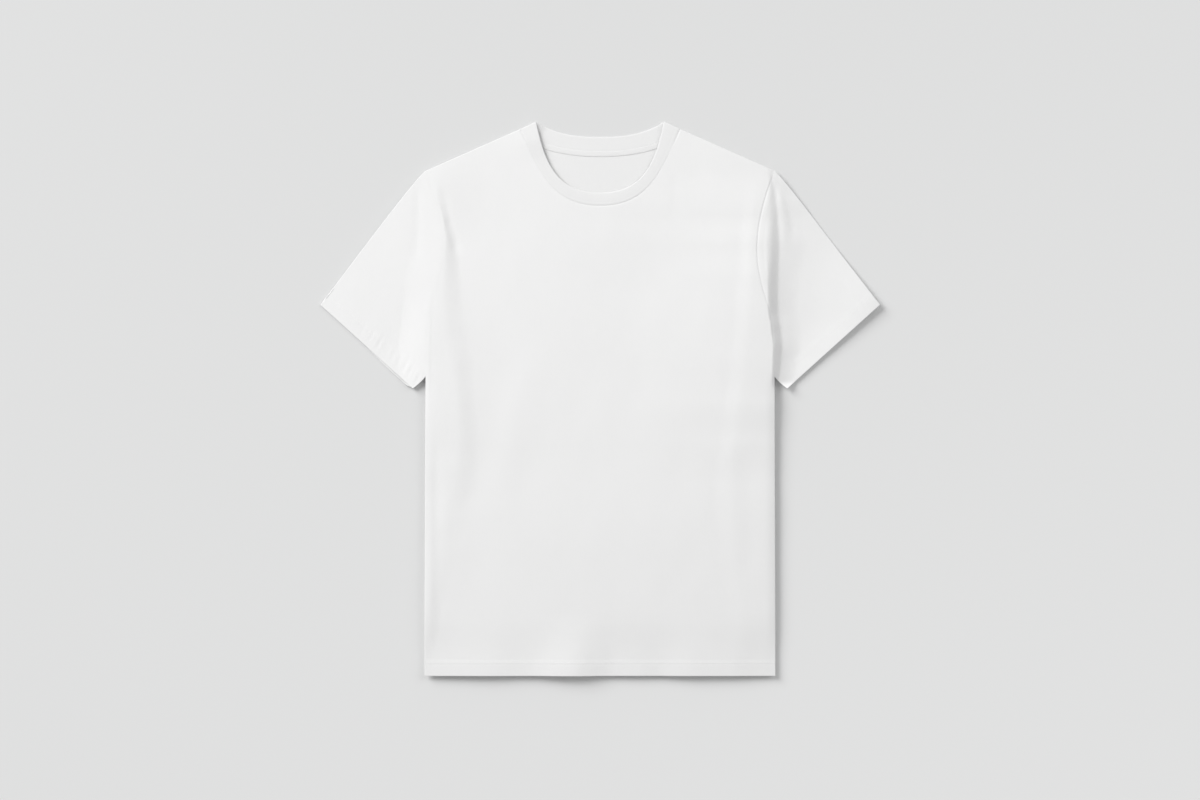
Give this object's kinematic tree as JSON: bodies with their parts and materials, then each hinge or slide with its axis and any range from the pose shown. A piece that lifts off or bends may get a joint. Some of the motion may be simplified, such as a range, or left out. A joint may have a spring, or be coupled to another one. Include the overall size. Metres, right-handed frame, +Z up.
{
  "type": "crew neck t-shirt",
  "caption": "Short-sleeved crew neck t-shirt laid flat on its back, with a ribbed neckband, taped back neck seam and turned-up hem and cuffs.",
  "frame": {"origin": "on the surface the shirt lies on, under the middle of its outline", "axes": "+Z up from the surface through the back and then the front, +Y from the hem towards the collar, +X towards the sleeve at the right of the picture"},
  "size_m": [0.728, 0.722, 0.0081],
  "materials": {
    "jersey": "matt white cotton single jersey",
    "rib": "matt white cotton 1x1 rib, doubled",
    "tape": "matt white cotton jersey tape"
  },
  "bodies": {
    "root": {"front_panel": "jersey", "back_panel": "jersey", "sleeve_left": "jersey", "sleeve_right": "jersey", "neckband": "rib", "neck_tape": "tape"}
  },
  "joints": []
}
